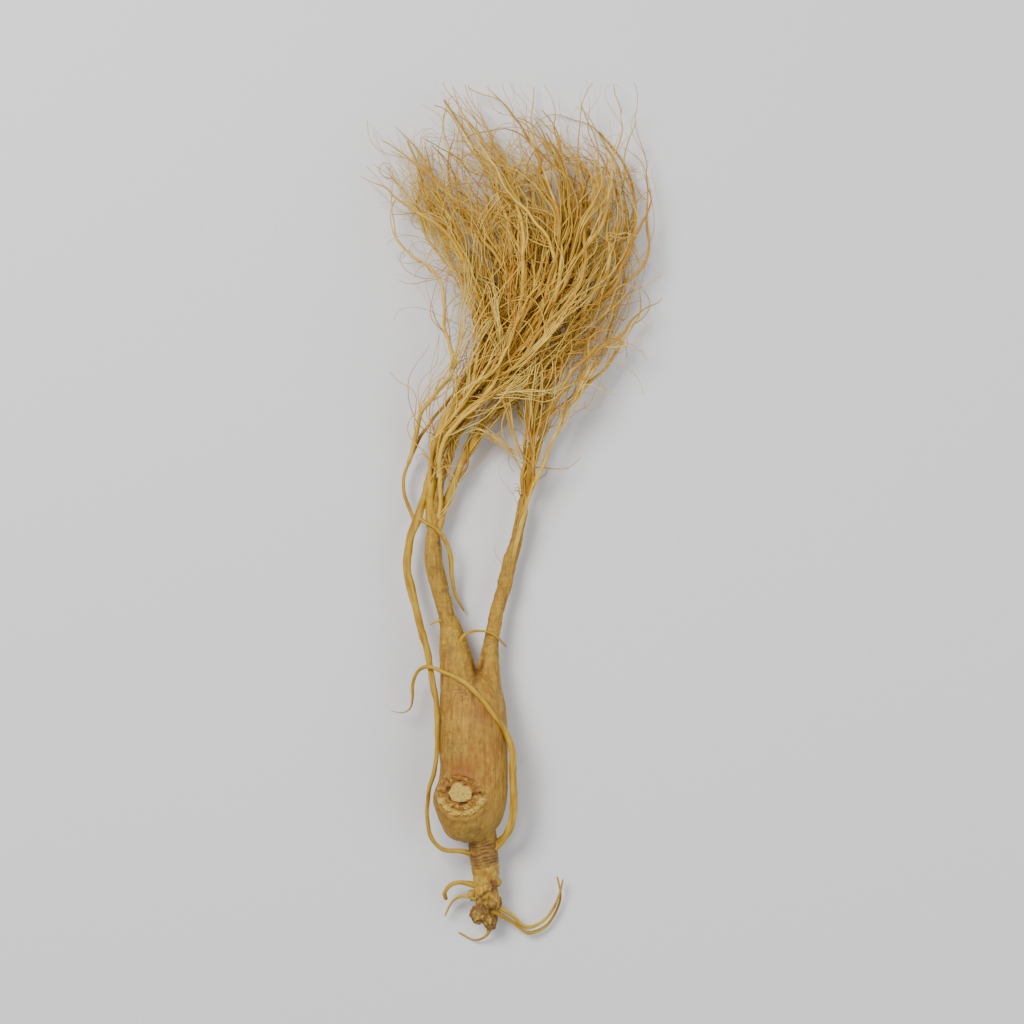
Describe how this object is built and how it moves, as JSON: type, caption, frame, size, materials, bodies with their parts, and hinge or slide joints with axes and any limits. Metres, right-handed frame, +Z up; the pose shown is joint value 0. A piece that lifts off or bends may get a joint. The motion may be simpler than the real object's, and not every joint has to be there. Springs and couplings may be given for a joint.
{
  "type": "dried ginseng root",
  "caption": "Whole dried white ginseng root with a stout body, ringed neck, forked legs and a tangle of long fine rootlets, lying on its side.",
  "frame": {"origin": "middle of the flat spot under the body that the root rests on", "axes": "+Y from the neck to the tips of the rootlets, +Z up from the surface, +X to the right seen from above"},
  "size_m": [0.0691, 0.2009, 0.0174],
  "materials": {
    "root_skin": "matte, dry and finely wrinkled",
    "rootlet_skin": "matte with a faint waxy sheen",
    "cut_scar": "matte, fibrous cut face"
  },
  "bodies": {
    "root": {"ginseng_root": "root_skin"}
  },
  "joints": []
}
